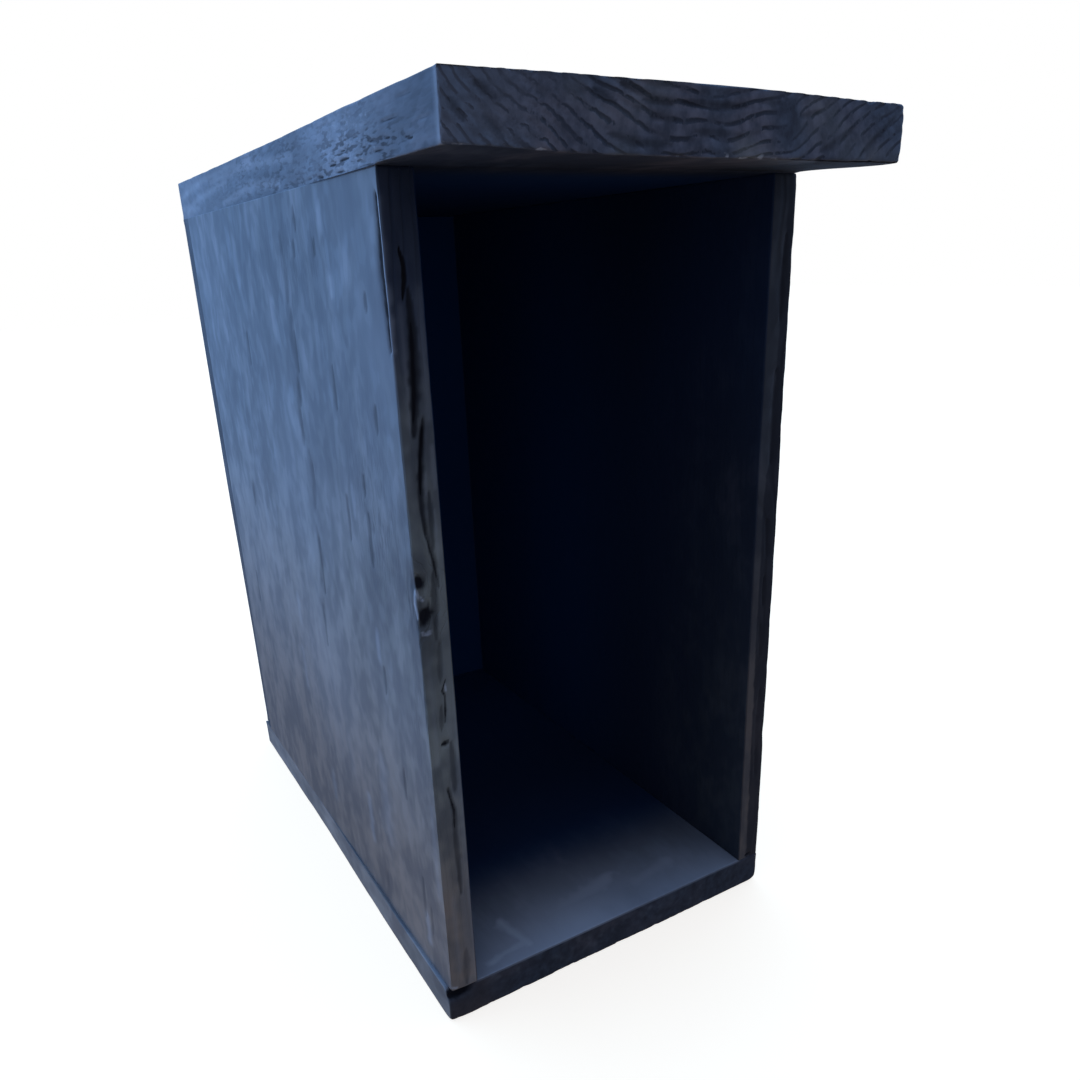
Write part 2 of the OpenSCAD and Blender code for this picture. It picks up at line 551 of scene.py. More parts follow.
def wood_noise(tree, place, across, along, detail=1.0, roughness=0.5):
    """Noise at the wood's own places, with cells of those sizes across and along the grain."""
    scale = (1 / (across * MM), 1 / (across * MM), 1 / (along * MM))
    stretched = add_node(tree, "VectorMath", {0: place, 1: scale}, operation="MULTIPLY").outputs[0]
    inputs = {"Vector": stretched, "Scale": 1.0, "Detail": detail, "Roughness": roughness}
    return add_node(tree, "TexNoise", inputs).outputs[0]


def new_material(name):
    """A material, its tree of nodes, and its shader."""
    material = bpy.data.materials.new(name)
    material.use_nodes = True
    tree = material.node_tree
    return material, tree, tree.nodes["Principled BSDF"]


def wood_material():
    """Blackened softwood: blue-black stain, strands, rings, rubbed places, dark cracks, painted shade and
    light.
    """
    material, tree, shader = new_material("blackened_wood")
    place = attribute(tree, "place", "Vector")
    ring, end, figure = (attribute(tree, name) for name in ("ring", "end", "figure"))
    painted_shade, grey_and_light, worn, dust_and_light, char_and_shade, torn, deep, fleck = (attribute(tree, name) for name in MARKS)

    streak = wood_noise(tree, place, 9, 17)
    blotch = wood_noise(tree, place, 6, 9)
    mottle = wood_noise(tree, place, 19, 34)
    cloud = wood_noise(tree, place, 35, 60)
    strand = wood_noise(tree, place, 3, 14, 2.0)
    pore = wood_noise(tree, place, 1.4, 5.4, 1.5)
    speck = wood_noise(tree, place, 1.9, 4.5, 3.0, 0.6)
    patch = wood_noise(tree, place, 4.5, 4.5, 3.0, 0.6)

    # Rings: dark late wood, broken into dashes on the end grain
    jag = product(tree, patch, weighted_sum(tree, (torn, 2.0), (end, 0.35)))
    phase = calculate(tree, "FRACT", weighted_sum(tree, (ring, 1.0), (mottle, 1.3), (jag, 1.0)))
    late = product(tree, ramp(tree, phase, 0.52, 0.74), ramp(tree, phase, 0.77, 0.94, 1.0, 0.0))
    whole = ramp(tree, weighted_sum(tree, (patch, 0.7), (blotch, 0.3), (torn, -0.06)), 0.44, 0.53)
    dash = product(tree, late, whole, ramp(tree, mottle, 0.38, 0.6, 0.3, 1.0))
    long_rings = product(tree, figure, late, 0.4)
    end_rings = product(tree, figure, dash, 0.86)

    # Stain: its strength and its hue change in blotches along the grain
    streaks, blotches = (ramp(tree, source, 0.43, 0.57) for source in (streak, blotch))
    brushed = weighted_sum(tree, (streaks, 0.08), (blotches, 0.08), (strand, 0.12))
    long_tone = weighted_sum(tree, (brushed, 1.0), (mottle, 0.6), (long_rings, -1.0))
    end_tone = weighted_sum(tree, (strand, 0.2), (mottle, 0.25), (patch, 0.75), (end_rings, -1.0))
    tone = mix_values(tree, end, long_tone, end_tone)
    hue = ramp(tree, weighted_sum(tree, (cloud, 0.5), (mottle, 0.5), (end, -0.02)), 0.4, 0.62)
    pale = mix_colours(tree, hue, STAIN_BLUE, STAIN_VIOLET)
    colour = mix_colours(tree, ramp(tree, tone, 0.35, 0.85), STAIN_DARK, pale)

    # Small holes where the grain is torn, and cracks with ragged sides, black with painted shade; knots
    # share the black
    hole = product(tree, ramp(tree, torn, 0.1, 0.9), ramp(tree, pore, 0.5, 0.62), 0.68)
    ragged = ramp(tree, weighted_sum(tree, (deep, 1.0), (speck, 0.5)), 0.48, 1.0)
    dark = calculate(tree, "MAXIMUM", hole, ragged)

    # Over the stain lie navy painted shade, grey fibres, bare wood, dust, char, pale chips, and the holes
    # and cracks
    uneven = ramp(tree, weighted_sum(tree, (blotch, 0.4), (mottle, 0.6)), 0.36, 0.64, 0.5, 1.3)
    chips_and_glints = ramp(tree, weighted_sum(tree, (fleck, 1.0), (speck, 0.5)), 0.62, 0.95, 0.0, 0.55)
    # Of these, the grey, dust and chips also paint light, and the char, holes and cracks paint shade
    for share, layer in (
        (painted_shade, PAINTED_SHADE_NAVY),
        (product(tree, grey_and_light, uneven), GREY_WOOD_AND_LIGHT),
        (product(tree, worn, uneven), BARE_WOOD),
        (dust_and_light, DUST_AND_LIGHT),
        (char_and_shade, CHAR_AND_SHADE),
        (chips_and_glints, DUST_AND_LIGHT),
        (dark, KNOT_BLACK_AND_CRACK_SHADE),
    ):
        colour = mix_colours(tree, share, colour, layer)

    rough = weighted_sum(tree, (tone, -0.2), (dark, 0.3), (char_and_shade, 0.2), (painted_shade, 0.3))
    rough = calculate(tree, "ADD", rough, WOOD_ROUGHNESS)
    long_height = weighted_sum(tree, (streak, 0.2), (blotch, 0.1), (mottle, 0.6), (strand, 0.04))
    long_height = weighted_sum(tree, (long_height, 1.0), (long_rings, -2.0))
    end_height = weighted_sum(tree, (patch, 0.4), (end_rings, -1.0))
    height = mix_values(tree, end, long_height, end_height)
    height = calculate(tree, "SUBTRACT", height, product(tree, torn, pore, 1.6))
    bump = add_node(tree, "Bump", {"Strength": 1.0, "Distance": WOOD_BUMP, "Height": height})
    feed(tree, shader, {"Base Color": colour, "Roughness": rough, "Normal": bump.outputs[0]})
    shader.inputs["Specular IOR Level"].default_value = WOOD_SPECULAR
    return material


def screw_material():
    """Black phosphate on steel, a little rubbed."""
    material, tree, shader = new_material("black_screw")
    place = add_node(tree, "TexCoord").outputs["Object"]
    blotch = wood_noise(tree, place, 1.2, 1.2, 3.0, 0.6)
    colour = mix_colours(tree, ramp(tree, blotch, 0.35, 0.75), PHOSPHATE, PHOSPHATE_RUBBED)
    feed(tree, shader, {"Base Color": colour, "Roughness": ramp(tree, blotch, 0.3, 0.7, 0.5, 0.32)})
    shader.inputs["Metallic"].default_value = PHOSPHATE_METALLIC
    return material


# The five boards, each with the tables of its marks before its maker


def on_left(y, z):
    """A place on the left side's outer face."""
    return (LEFT_FACE, y, z)


def on_front(x, z):
    """A place on a side's front edge."""
    return (x, OPENING, z)


def on_roof(y, z):
    """A place on the roof's left face."""
    return (ROOF_FACE, y, z)


def path(on, *places):
    """A line through places on one of those faces."""
    return [on(*place) for place in places]


def between_sides(across):
    """1 where a board closes the box between its two sides, 0 where the sides meet it."""
    return rise(across, *LEFT_JOINT) * fall(across, *RIGHT_JOINT)


# y, top and bottom of each check on the left side's outer face, in millimetres
LEFT_CHECKS = (
    (-29, 298, 293), (-53, 299, 292), (-16, 266, 250), (-10, 235, 219), (-13, 250, 236), (-58, 256, 240),
    (-98, 281, 275), (-34, 309, 301), (-97, 246, 237), (-17, 214, 204), (-79, 206, 185), (-57, 209, 190),
    (-78, 220, 212), (-13, 183, 155), (-6, 150, 128), (-78, 145, 133), (-88, 104, 90), (-97, 59, 39),
    (-53, 35, 22), (-103, 48, 34), (60, 262, 248), (95, 190, 171), (40, 92, 76), (120, 130, 112),
)
# Each piece of the faint seam through the middle of that face: its darkness, then its places y, z
LEFT_SEAM = (
    (0.3, (-13, 302), (-15, 288), (-13, 276)), (0.24, (-16, 274), (-12, 262), (-14, 250)),
    (0.32, (-12, 246), (-9, 234), (-11, 222)), (0.28, (-15, 219), (-17, 206), (-13, 194)),
    (0.22, (-12, 186), (-14, 172), (-9, 160)), (0.2, (-8, 152), (-6, 138)),
)
# y, top, bottom, half width and strength of each pale streak on that face, partly painted highlight
LEFT_STREAKS = (
    (33, 311, 304, 3, 0.14), (-62, 306, 301, 3, 0.18), (-66, 285, 280, 2, 0.27), (-82, 293, 286, 7, 0.11),
    (-108, 300, 272, 4, 0.11), (-64, 213, 203, 2, 0.18), (36, 140, 126, 3, 0.18),
    (-74, 156, 147, 2.5, 0.23), (41, 110, 88, 3, 0.16), (16, 49, 36, 3, 0.16), (-39, 66, 44, 2.5, 0.2),
    (-98, 40, 28, 2, 0.2), (75, 200, 150, 5, 0.09), (-20, 128, 70, 6, 0.09), (-62, 95, 60, 6, 0.11),
    (-113, 100, 60, 2, 0.08), (10, 276, 262, 3, 0.11), (-44, 268, 252, 3, 0.11), (-90, 228, 214, 3, 0.11),
    (60, 300, 284, 3, 0.09),
)
# y, z, size and strength of each broad pale patch on it, partly painted highlight
LEFT_PALE_PATCHES = (
    (-95, 290, 40, 0.07), (-106, 262, 26, 0.13), (-70, 235, 45, 0.06), (-80, 286, 6, 0.12),
    (-66, 284, 4, 0.2), (0, 115, 50, 0.11), (90, 135, 60, 0.07), (5, 200, 50, 0.09), (125, 290, 45, 0.05),
    (-95, 235, 35, 0.08), (-90, 130, 40, 0.06),
)
# y, z, length, height and strength of each patch of torn grain on it
LEFT_TEARS = (
    (-112, 115, 16, 75, 0.3), (-114, 182, 9, 14, 0.6), (-88, 205, 32, 45, 0.42), (-30, 290, 60, 22, 0.32),
)
# Half width, depth and darkness of each soft groove on the left side's front edge, then its places x, z
LEFT_EDGE_GROOVES = (
    (1.7, 0.6, 0.95, (-74.9, 282), (-74.6, 267), (-75.0, 262), (-75.6, 251), (-76.3, 244), (-77.1, 238)),
    (1.1, 0.6, 0.9, (-73.6, 243), (-75.3, 232), (-76.4, 222), (-76.6, 214), (-75.8, 205)),
    (0.9, 0.4, 0.6, (-73.6, 220), (-73.6, 210), (-73.8, 199)),
    (0.9, 0.4, 0.7, (-75.9, 208), (-74.1, 197), (-72.7, 186)),
    (1.4, 0.4, 0.7, (-74.2, 192), (-75.0, 178), (-75.3, 168)),
    (1.3, 0.4, 0.55, (-74.3, 167), (-75.1, 152)), (0.9, 0.4, 0.5, (-75.8, 142), (-76.3, 133)),
    (1.2, 0.5, 0.55, (-73.0, 127), (-73.1, 106)),
    (1.1, 0.5, 0.6, (-76.0, 109), (-73.9, 98), (-74.3, 88), (-74.0, 75), (-74.0, 60)),
    (1.4, 0.3, 0.4, (-73.8, 33), (-74.7, 16)),
)
# The same for each thin split on that edge
LEFT_EDGE_SPLITS = (
    (0.8, 0.9, 1.0, (-76.7, 293), (-75.7, 288.5), (-75.8, 284), (-76.9, 279)),
    (0.8, 0.5, 0.8, (-74.8, 272), (-75.0, 262), (-75.9, 248), (-76.7, 242)),
    (0.6, 0.5, 0.8, (-73.8, 241), (-75.4, 231), (-76.4, 219)),
    (0.5, 0.5, 0.7, (-75.8, 205), (-74.1, 197), (-72.9, 189)),
    (0.6, 0.5, 0.7, (-73.3, 152), (-74.8, 148), (-73.8, 146), (-74.6, 135)),
    (0.9, 1.2, 1.0, (-77.1, 127.3), (-73.3, 127.6)),
    (0.5, 0.5, 0.7, (-75.7, 107), (-73.9, 98), (-74.2, 90)),
)
# x, z and the two radii of each knot on that edge
LEFT_EDGE_KNOTS = ((-80.2, 189.5, 3.1, 3.6), (-78.8, 177.2, 3.5, 3.6))
# x, top, bottom, half width and strength of each pale strip on that edge, a painted highlight
LEFT_EDGE_PALE = (
    (-78.0, 277, 240, 0.9, 0.10), (-71.6, 282, 243, 1.0, 0.10), (-71.3, 234, 221, 0.9, 0.14),
    (-74.6, 226, 219, 0.6, 0.1), (-72.2, 213, 196, 0.6, 0.12), (-80.9, 192, 191, 0.8, 0.25),
    (-78.8, 160, 120, 1.2, 0.08), (-71.6, 120, 70, 0.8, 0.1), (-77.5, 60, 24, 1.2, 0.08),
    (-70.7, 150, 18, 0.7, 0.14),
)
# Half width of each crisp chip or splinter there, then its places x, z
LEFT_EDGE_SLIVERS = (
    (1.5, (-81.6, 186), (-80.0, 183.8), (-79.0, 183.4)),
    (1.6, (-80.4, 171.4), (-78.6, 170.6), (-77.4, 171.2)), (1.5, (-81.4, 17.4), (-79.6, 16.4)),
    (0.8, (-73.8, 151), (-73.2, 147.5)), (1.0, (-81.2, 189), (-80.6, 185.6)),
)


def make_left_side():
    """The wide left board: pale patches, partly painted highlights, and dry checks outside, and a dark front
    edge with knots.
    """
    board = Board("left_side", Z, ((0.5, 0.5), (0.8, 2.6), (1.25, 1.25)), seed=1)
    board.grow_rings(pith=(120, -20), ring_gap=2.6)
    board.wear_arrises(0.5, 14)
    board.sawn(fibre=0.05)
    outer, front, inner = board.on(LEFT), board.on(FRONT), board.on(RIGHT)
    across, depth, height = board.points.T / MM

    # Dry checks, darkened with painted shade, and pale streaks, partly painted highlights, on the outer face
    for y, top, bottom in LEFT_CHECKS:
        line = path(on_left, (y, top), (y + 0.03 * (top - bottom), bottom))
        board.crack(line, 1.3, 0.2, dark=0.5, soft=True)
    for dark, *places in LEFT_SEAM:
        board.crack(path(on_left, *places), 2.3, 0.08, dark, soft=True)
    for y, z, size, amount in LEFT_PALE_PATCHES:
        board.mark("dust_and_light", outer * amount * bell(board.away(on_left(y, z), size), 1.0))
    for y, top, bottom, width, amount in LEFT_STREAKS:
        board.scuff_and_highlight(path(on_left, (y, top), (y, bottom)), width, amount)

    # The split sliver along the front arris, its crack darkened with painted shade
    board.crack(path(on_left, (-114.4, 308), (-113.8, 286), (-115.0, 264)), 1.4, 0.7, dark=0.8)
    board.scuff_and_highlight(path(on_left, (-116.4, 306), (-116.8, 264)), 1.0, 0.32)

    # Front edge: wandering grain, hollows and splits with painted shade, knots, painted highlights and chips
    for width, sink, dark, *places in LEFT_EDGE_GROOVES:
        board.crack(path(on_front, *places), width, sink, dark, soft=True)
    for width, sink, dark, *places in LEFT_EDGE_SPLITS:
        board.crack(path(on_front, *places), width, sink, dark)
    for x, z, wide, tall in LEFT_EDGE_KNOTS:
        board.knot(on_front(x, z), (wide, 2.5, tall), depth=1.0, swirl=4)
    for x, top, bottom, width, amount in LEFT_EDGE_PALE:
        board.scuff_and_highlight(path(on_front, (x, top), (x, bottom)), width, amount)
    for width, *places in LEFT_EDGE_SLIVERS:
        board.sliver(path(on_front, *places), width)

    # Front edge: bare wood at the foot, grey above it, and painted shade under the roof, black and navy
    board.figure = np.maximum(0.02, front)
    board.mark("worn", front * 0.76 * fall(height, 25, 130))
    board.mark("grey_and_light", front * 0.85 * fall(height, 160, 320))
    board.mark("char_and_shade", front * 0.33 * bell(height - 166, 30))
    board.mark("char_and_shade", front * (0.03 + 0.62 * rise(height, 250, 305)))
    board.mark("dust_and_light", front * 0.07 * rise(across, -76, -73) * fall(height, 150, 250))
    board.add_painted_shade(front * 0.25 * rise(height, 240, 300))

    # Outer face: greyer and warmer towards the front and the foot, and rough beside the knots
    level = height - 45 * rise(depth, OPENING, 100)
    behind = 0.45 + 0.55 * rise(depth, OPENING, -30)
    band = bell(height - 135, 75)
    board.mark("grey_and_light", outer * (0.11 + 0.04 * fall(depth, OPENING, 130) + 0.2 * band))
    board.mark("worn", outer * 0.52 * fall(level, 0, 170))
    board.mark("char_and_shade", outer * 0.42 * behind * fall(level, -10, 150))
    board.set_arris(LEFT, FRONT, 0.4, fall(height, 100, 140))
    for y, z, length, tall, amount in LEFT_TEARS:
        board.tear(on_left(y, z), (5, length, tall), amount)
    board.chip(on_left(-117, 179), (3, 3, 11), 0.8)
    board.sliver(path(on_left, (-116.2, 187), (-115.4, 182), (-116.4, 177)), 1.5, 0.7)

    # Inner face: painted shade, navy and black
    board.add_painted_shade(0.95 * inner)
    board.mark("char_and_shade", 0.75 * inner)
    for face in (TOP, BOTTOM, REAR):
        board.set_arris(LEFT, face, SQUARE_ARRIS)
        board.seat_flat(face)
    board.chip(on_front(-81.7, 15), (3.4, 3, 2.6), 1.4)
    return board


# Height and x of the points where the light inner strip of the right side's front edge ends
RIGHT_EDGE_BOUND = (
    (15, 76.0), (39, 75.8), (86, 75.5), (130, 74.9), (169, 75.1), (192, 74.9), (203, 76.0), (210, 77.8),
    (232, 77.7), (241, 78.1), (264, 78.4), (279, 78.1), (293, 79.0),
)
# Half width, depth and darkness of each hollow on it, then its places x, z; the darkness is painted shade
RIGHT_EDGE_HOLLOWS = (
    (1.3, 0.5, 0.6, (79, 294), (78.1, 279), (78.4, 264)),
    (1.5, 0.6, 0.7, (78.1, 245), (77.7, 232), (77.8, 208)), (1.4, 0.5, 0.7, (77.5, 184), (78.7, 168)),
    (1.0, 0.6, 0.9, (77.7, 159), (77.9, 146)), (1.3, 0.4, 0.6, (76.9, 137), (77.9, 122)),
    (1.2, 0.5, 0.6, (79, 105), (78.2, 84), (79, 60)), (1.0, 1.0, 1.0, (75.5, 16.2), (78.5, 16.4)),
)


def make_right_side():
    """The right board, seen by its front edge and by its inner face."""
    board = Board("right_side", Z, ((0.5, 0.5), (1.5, 3.2), (1.0, 1.0)), seed=2)
    board.grow_rings(pith=(-70, 30), ring_gap=2.9)
    board.wear_arrises(0.6, 12)
    board.sawn()
    board.ragged_arris(RIGHT, FRONT, 0.9, 9)
    for width, sink, dark, *places in RIGHT_EDGE_HOLLOWS:
        board.crack(path(on_front, *places), width, sink, dark, soft=True)
    front, inner = board.on(FRONT), board.on(LEFT)
    across, depth, height = board.points.T / MM
    low = fall(height, 40, 230)

    # Front edge: a light inner strip with a ragged bound, black beside it, and painted shade under the roof
    bound = np.interp(height, *np.transpose(RIGHT_EDGE_BOUND))
    strip = fall(across - bound + 0.7 * board.rough(3.5, 89, 2), -0.5, 0.5)
    board.figure = np.maximum(board.figure, 0.7 * front)
    board.mark("grey_and_light", front * strip * (0.16 + 0.3 * low))
    board.mark("worn", front * low * (0.3 + 0.3 * strip))
    black = 0.84 - 0.06 * low - strip * (0.24 + 0.12 * low)
    board.mark("char_and_shade", front * np.maximum(black, 0.7 * rise(height, 295, 308)))

    # Inner face: painted shade, black in front, navy deeper and higher; painted light, greyer, low near the
    # front
    high = rise(height, 190, 300)
    board.add_painted_shade(inner * (0.2 + 0.8 * rise(depth, OPENING, -20) + 0.5 * high))
    board.mark("grey_and_light", inner * 0.34 * low * fall(depth, -112, -20))
    board.mark("char_and_shade", inner * (0.64 + 0.04 * high + 0.1 * low) * fall(depth, -40, 60))
    for face in (TOP, BOTTOM, REAR):
        board.seat_flat(face)
    return board


def make_back_panel():
    """The panel behind both sides. Its front, the end of the cavity, is dark with painted shade."""
    board = Board("back_panel", Z, ((1.5, 1.5), (1.0, 1.0), (1.8, 1.8)), seed=3)
    board.grow_rings(pith=(10, 80), ring_gap=2.9)
    board.wear_arrises(0.6, 14)
    board.sawn()
    board.screw_seats("back_screws")
    front = board.on(FRONT)
    across, _, height = board.points.T / MM
    board.figure[:] = 0.03
    # Painted shade on its front between the sides, navy, with a black band at mid height
    board.add_painted_shade(front * between_sides(across))
    board.mark("char_and_shade", 0.6 * board.on(LEFT))
    board.mark("char_and_shade", front * (0.06 + 0.34 * bell(height - 135, 110)))
    board.taper(LEFT, 0.25 + 1.0 * fall(height, 40, 190))
    board.set_arris(RIGHT, FRONT, 0.3)
    for face in (FRONT, TOP, BOTTOM):
        board.set_arris(LEFT, face, SQUARE_ARRIS)
        board.seat_flat(face)
    return board


# Half width and darkness of each bold dark line on the roof's front, then its places x, z, in millimetres
ROOF_LINES = (
    (1.0, 0.45, (-73, 329), (-67, 326)), (1.0, 0.45, (-80, 325.5), (-76, 320.5)),
    (1.0, 0.45, (-71, 322), (-65, 317)), (0.9, 0.6, (-39, 329.3), (-31, 326.7)),
    (0.9, 0.6, (-30, 331), (-21.5, 329)), (0.9, 0.6, (-22.5, 327.6), (-12, 327)),
    (0.8, 0.5, (-20, 324), (-11, 323.6)), (0.9, 0.5, (-34, 320), (-26.5, 318.4), (-12, 318)),
    (0.8, 0.5, (-9, 327.6), (6, 327.2), (15, 327.6)), (0.8, 0.4, (-5, 321.2), (13, 320.8)),
    (0.8, 0.4, (20, 329), (28, 329)), (0.9, 0.4, (36, 326.2), (44, 327.8)),
    (0.9, 0.45, (45, 317.6), (52, 320.5), (59, 324.4)), (0.9, 0.45, (63, 317), (77, 327.6)),
)
# y, z, length, height and strength of each patch of torn grain on the roof's left face
ROOF_TEARS = ((-105, 319.5, 52, 9, 1.0), (-75, 316, 55, 4, 0.9), (-40, 323, 160, 20, 0.6))
# y, z, length along y, rise, half width and darkness of each gash on the roof's left face, in millimetres
ROOF_GASHES = (
    (-98, 318.9, 9, -0.4, 0.6, 0.85), (-86, 318.0, 7, 0.3, 0.5, 0.8), (-72, 315.8, 8, 0.4, 0.5, 0.75),
    (-92, 315.6, 7, 0.3, 0.45, 0.7), (-60, 316.4, 6, -0.3, 0.4, 0.6), (-97, 320.8, 7, 0.5, 0.35, 0.65),
    (-109, 323.0, 7, 0.6, 0.35, 0.6), (-122, 320.6, 7, 0.6, 0.4, 0.7), (-131, 320.2, 6, 0.8, 0.4, 0.7),
    (-137, 324.5, 12, 0.2, 0.35, 0.55), (-146, 318.6, 6, 0.8, 0.4, 0.7), (-159, 322.0, 9, 0.2, 0.35, 0.5),
    (-147, 328.6, 10, 0.0, 0.3, 0.5), (-127, 317.8, 8, 0.4, 0.4, 0.7), (-46, 316.0, 9, 0.3, 0.35, 0.6),
    (-85, 329.6, 9, 0.2, 0.3, 0.5), (-113, 316.6, 8, 0.2, 0.4, 0.6), (-79, 321.6, 8, -0.4, 0.35, 0.6),
    (-101, 326.0, 8, 0.2, 0.3, 0.5), (-30, 315.8, 7, 0.2, 0.35, 0.6),
)
# The places y, z of each pale arc on that face, a painted highlight, and its strength
ROOF_ARCS = (
    ((-39, 325), (32, 328), (90, 327), 0.18), ((-20, 318), (20, 320), (70, 317), 0.18),
    ((60, 325), (120, 322), (150, 318), 0.18), ((-110, 327), (-85, 328.5), 0.1),
    ((-100, 317.2), (-120, 316.2), 0.12), ((40, 330), (110, 329), (158, 325), 0.18),
    ((-70, 320), (-40, 321), 0.1), ((120, 318), (158, 320), 0.16),
)


def make_roof_board():
    """The thick top board, with end grain in front, and torn along its left face."""
    board = Board("roof_board", Y, ((0.9, 0.9), (1.2, 2.4), (0.6, 0.6)), seed=4)
    board.grow_rings(pith=(-5, 75), ring_gap=3.2, squeeze=0.8, sweep=-15)
    board.wear_arrises(0.6, 12)
    board.sawn()
    board.end_rings(0.3)
    _, front, bottom = board.low / MM
    right, _, top = board.high / MM
    end, side, under = board.on(FRONT), board.on(LEFT), board.on(BOTTOM)
    across, depth, _ = board.points.T / MM

    # Front: dark at its upper arris, torn by the saw at its lower one, bold dark lines of painted shade
    # between
    chipped = np.maximum(bell(across + 58, 26), bell(across - 12, 24))
    board.ragged_arris(FRONT, BOTTOM, 0.8, 2.6, pale=0.25 + 0.4 * chipped)
    board.set_arris(FRONT, TOP, 0.3)
    board.mark("char_and_shade", 0.5 * board.near_arris(FRONT, TOP, 1.2))
    board.figure = np.maximum(board.figure, end * (1 - 0.4 * rise(across, 20, 70)))
    board.mark("dust_and_light", end * 0.09 * fall(across, -75, -35))
    board.mark("grey_and_light", end * 0.4 * clamp(board.rough(15, 77, 2)))
    board.tear((-58, front, 324), (25, 3, 14), 0.45)
    for width, dark, *places in ROOF_LINES:
        board.crack([(x, front, z) for x, z in places], width, 0.2, dark, soft=True)

    # The left face is drawn in behind, the lower front edge sags, and the top falls to the right corner
    board.taper(LEFT, 1.4 * rise(depth, -115, 0))
    board.taper(BOTTOM, -1.25 * rise(across, -78, -30) * fall(depth, -160, -118))
    board.taper(TOP, 1.4 * rise(across, 5, 80) * fall(depth, -150, -60))

    # Torn grain and gashes of painted shade on the left face, pale arcs behind them, and a rubbed band at
    # the front arris
    for y, z, length, tall, amount in ROOF_TEARS:
        board.tear(on_roof(y, z), (10, length, tall), amount)
    # Painted highlights: pale specks over the front half of the left face, and the pale arcs
    near = side * bell(depth + 95, 62)
    board.mark("dust_and_light", 0.14 * near)
    board.mark("dust_and_light", 0.05 * side * rise(depth, 0, 80))
    board.mark("fleck", 0.42 * near)
    for y, z, along, up, width, dark in ROOF_GASHES:
        board.crack(path(on_roof, (y, z), (y + along, z + up)), width, 0.4, dark)
    for *places, amount in ROOF_ARCS:
        board.scuff_and_highlight(path(on_roof, *places), 2.0, amount)
    board.scuff_and_highlight(path(on_roof, (-161.5, 332), (-161.5, 310)), 1.9, 0.22)
    board.mark("char_and_shade", side * 0.26 * fall(depth, -150, -105) * rise(depth, -162, -158))
    board.set_arris(LEFT, BOTTOM, SQUARE_ARRIS, rise(depth, -119, -90))
    board.set_arris(RIGHT, BOTTOM, 0.2)

    board.chip((66, front, top), (1.6, 4, 2), 1.4)
    board.chip((10, front, top), (9, 4, 2), 0.8, dark=0.4)
    board.chip((right, front, top), (3, 3, 3), 1.2)
    board.chip((right, front, bottom), (3, 3, 3), 1.1)
    board.screw_seats("roof_screws")

    # Underside, in painted shade: navy over the box, and in front of it worn at the left and black at the
    # right
    seated = rise(depth, OPENING - 2, OPENING)
    covered = under * seated
    overhang = under - covered
    inward = rise(depth, -118, -88)
    rightward = rise(across, 30, 55)
    board.add_painted_shade(0.1 * under + 0.85 * covered * inward * between_sides(across))
    board.mark("worn", 0.12 * (under - covered * inward) * bell(across - 8, 45))
    board.mark("char_and_shade", overhang * (0.02 + 0.78 * rise(across, 0, 55)))
    board.mark("char_and_shade", covered * (0.08 + 0.36 * fall(depth, -114, -60)))
    board.mark("deep", 0.7 * overhang * rightward)
    board.mark("torn", 0.8 * overhang * rightward)
    board.seat_flat(BOTTOM, seated)
    return board


# The places x, y of each scuff on the floor, its half width and its strength
FLOOR_SCUFFS = (
    ((-45.5, -91), (-44, -100), (-41.5, -110), 4.4, 0.86),
    ((-44, -108), (-53, -109), (-60, -111), 3.8, 0.84), ((-24, -99), (-6, -96), (10, -93), 9.0, 0.66),
    ((20, -102), (42, -98), 9.0, 0.55),
)


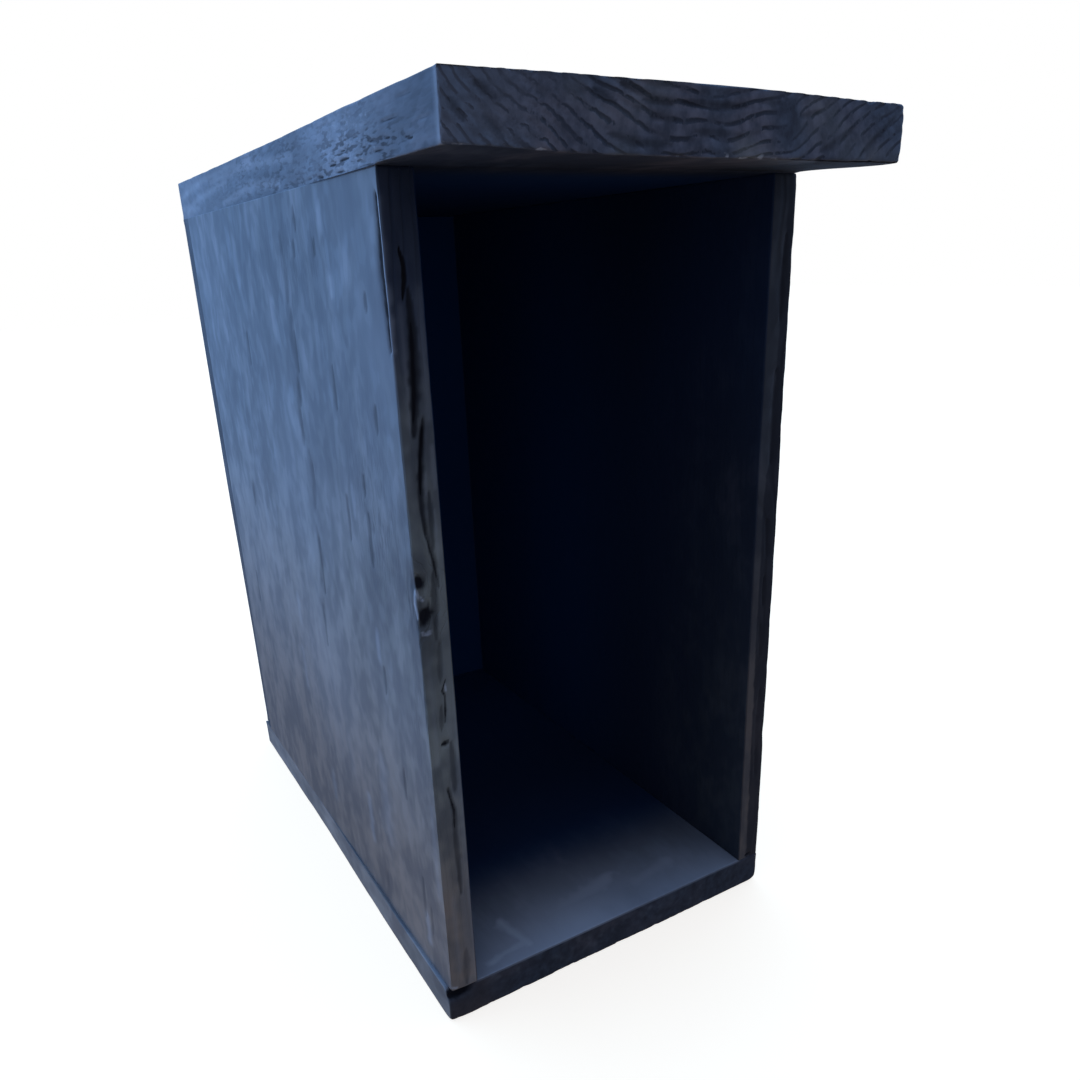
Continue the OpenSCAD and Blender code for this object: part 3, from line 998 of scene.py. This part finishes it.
def make_base_board():
    """The bottom board, pale with painted light inside the opening, with a broken front left corner."""
    board = Board("base_board", Y, ((0.9, 0.9), (1.1, 2.4), (0.6, 0.6)), seed=5)
    board.grow_rings(pith=(20, -50), ring_gap=3.0)
    board.wear_arrises(0.6, 10)
    board.sawn()
    board.ragged_arris(FRONT, BOTTOM, 0.9, 3.5, pale=0.55)
    left, front, _ = board.low / MM
    right, _, top = board.high / MM
    # A notch under the side's foot and broken lower corners, the left ones darkened with painted shade
    notch = (left + 4.5, front, top - 0.8)
    board.chip(notch, (7.5, 3.6, 3.4), 1.4, dark=1.0)
    board.dent(notch, (6.5, 3, 2.6), (0, 3.0, -2.4))
    board.chip((left, front, 0), (4, 4, 3), 0.9, dark=0.55)
    board.chip((right, front, 0), (3, 3, 3), 1.6)
    board.screw_seats("base_screws")
    across, depth, _ = board.points.T / MM
    from_left, from_front = across - left, depth - front
    board.taper(LEFT, 1.4 * rise(from_front, 40, 190))

    # Painted light on the floor inside the opening, fading inward, with scuffs, and navy painted shade
    # behind it
    inside = board.on(TOP) * rise(from_left, 12, 14) * between_sides(across)
    opening_light = 0.47 + 0.3 * bell(across + 25, 36) + 0.08 * board.rough((14, 22, 14), 50)
    board.add_painted_shade(0.95 * inside * rise(from_front, 30, 80))
    board.mark("char_and_shade", 0.55 * inside * rise(from_front, 40, 80) * fall(from_front, 110, 230))
    board.mark("dust_and_light", inside * opening_light * fall(from_front, 2, 72))
    for *places, width, amount in FLOOR_SCUFFS:
        board.scuff_and_highlight([(x, y, top) for x, y in places], width, amount)

    # Its front edge, its left edge, and the ledge that stands proud of the left side
    end, side = board.on(FRONT), board.on(LEFT)
    ledge = board.on(TOP) * fall(from_left, 1, 3)
    corner = bell(from_left - 10, 14)
    board.mark("worn", 0.3 * end * corner)
    board.mark("char_and_shade", end * (0.66 + 0.1 * corner))
    board.mark("grey_and_light", 0.3 * side)
    board.mark("char_and_shade", 0.24 * side * fall(from_front, 5, 70))
    board.mark("dust_and_light", ledge * (0.2 - 0.12 * rise(from_front, 20, 70)))
    board.mark("char_and_shade", 0.4 * ledge * rise(from_front, 10, 60))
    board.mark("worn", 0.5 * ledge)
    board.figure *= 1 - end
    board.set_arris(LEFT, TOP, 0.4)
    board.set_arris(LEFT, TOP, SQUARE_ARRIS, rise(from_front, 100, 200))
    board.seat_flat(TOP)
    return board


# Camera, stage and light


def make_camera():
    """The photograph's view: the lens looks along CAMERA_LOOK, and its frame is shifted a little."""
    data = bpy.data.cameras.new("camera")
    data.lens = CAMERA_LENS_MM
    data.sensor_width = CAMERA_SENSOR_MM
    data.shift_x, data.shift_y = CAMERA_SHIFT
    data.clip_start = CAMERA_NEAR
    camera = bpy.data.objects.new("camera", data)
    right = CAMERA_LOOK.cross(CAMERA_UP).normalized()
    up = right.cross(CAMERA_LOOK).normalized()
    turn = Matrix((right, up, -CAMERA_LOOK.normalized())).transposed()
    camera.matrix_world = Matrix.Translation(CAMERA_PLACE) @ turn.to_4x4()
    bpy.context.scene.collection.objects.link(camera)
    bpy.context.scene.camera = camera


def make_stage():
    """A plain pale floor, lit through from below like a light table.

    So it stays pale and throws no light back.
    """
    half = FLOOR_SIZE / 2
    corners = [(x, y, -FLOOR_DROP) for x, y in ((-half, -half), (half, -half), (half, half), (-half, half))]
    mesh = bpy.data.meshes.new("floor")
    mesh.from_pydata(corners, [], [(0, 1, 2, 3)])
    floor = bpy.data.objects.new("floor", mesh)
    material, _, shader = new_material("pale_floor")
    shader.inputs["Base Color"].default_value = FLOOR_COLOUR
    shader.inputs["Roughness"].default_value = 1.0
    shader.inputs["Specular IOR Level"].default_value = 0.0
    shader.inputs["Emission Color"].default_value = WHITE
    shader.inputs["Emission Strength"].default_value = FLOOR_GLOW
    mesh.materials.append(material)
    floor.visible_diffuse = False
    floor.visible_glossy = False
    bpy.context.scene.collection.objects.link(floor)


def make_light():
    """Soft daylight from a dome: blue sky at the left, rear and right, dim in front, dull ground below."""
    world = bpy.data.worlds.new("studio")
    world.use_nodes = True
    bpy.context.scene.world = world
    tree = world.node_tree
    direction = add_node(tree, "TexCoord").outputs["Generated"]
    split = add_node(tree, "SeparateXYZ", {0: direction})
    from_rear = ramp(tree, split.outputs["Y"], *REAR_BAND)
    sky = mix_colours(tree, from_rear, SKY_FRONT, SKY_REAR)
    ground = mix_colours(tree, from_rear, GROUND_FRONT, GROUND_REAR)
    colour = mix_colours(tree, ramp(tree, split.outputs["Z"], *HORIZON_BAND), ground, sky)
    dome = tree.nodes["Background"]
    feed(tree, dome, {"Color": colour})
    backdrop = add_node(tree, "Background", {"Color": WHITE})
    seen = add_node(tree, "LightPath").outputs["Is Camera Ray"]
    mix = add_node(tree, "MixShader", {0: seen, 1: dome.outputs[0], 2: backdrop.outputs[0]})
    feed(tree, tree.nodes["World Output"], {"Surface": mix.outputs[0]})
    view = bpy.context.scene.view_settings
    view.view_transform = "Standard"
    view.look = "None"


# The whole scene


make_camera()
make_stage()
make_light()

wood = wood_material()
for make in (make_left_side, make_right_side, make_back_panel, make_roof_board, make_base_board):
    make().build().data.materials.append(wood)

black_steel = screw_material()
for node in SCREW_FACES:
    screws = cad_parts[node]
    screws.data.materials.clear()
    screws.data.materials.append(black_steel)
